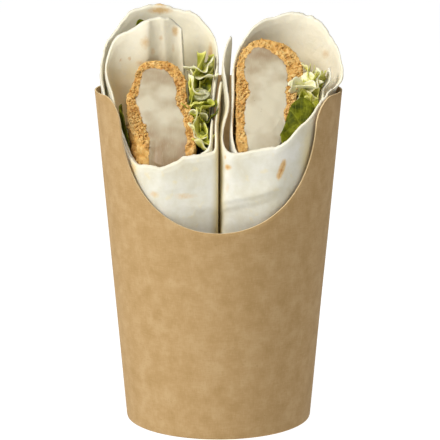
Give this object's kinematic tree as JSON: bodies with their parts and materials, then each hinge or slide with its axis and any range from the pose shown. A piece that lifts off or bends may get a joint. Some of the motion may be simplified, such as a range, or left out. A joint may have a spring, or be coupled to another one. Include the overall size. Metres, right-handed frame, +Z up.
{
  "type": "crispy chicken wrap in a cup",
  "caption": "Crispy chicken wrap cut on the slant, both halves standing in a scooped kraft paperboard cup, cut faces to the front.",
  "frame": {"origin": "middle of the part's box, on the surface it stands on; the cup's own axis stands 2.24 mm in front of it, at Y -0.00224", "axes": "+Z up along the cup's axis, -Y towards the scooped front and the cut faces, +X to the viewer's right"},
  "size_m": [0.092, 0.0882, 0.1551],
  "materials": {
    "kraft": "uncoated brown paperboard",
    "tortilla": "soft floury wheat tortilla",
    "crumbed_chicken": "fried crumb crust, pale cut flesh",
    "lettuce": "moist leaf",
    "spinach": "moist dark leaf"
  },
  "bodies": {
    "root": {"cup_wall": "kraft", "cup_base": "kraft", "tortilla_left": "tortilla", "tortilla_right": "tortilla", "chicken_left": "crumbed_chicken", "chicken_right": "crumbed_chicken", "lettuce_left": "lettuce", "lettuce_right": "lettuce", "spinach_left": "spinach", "spinach_right": "spinach", "spinach_fold": "spinach"}
  },
  "joints": []
}
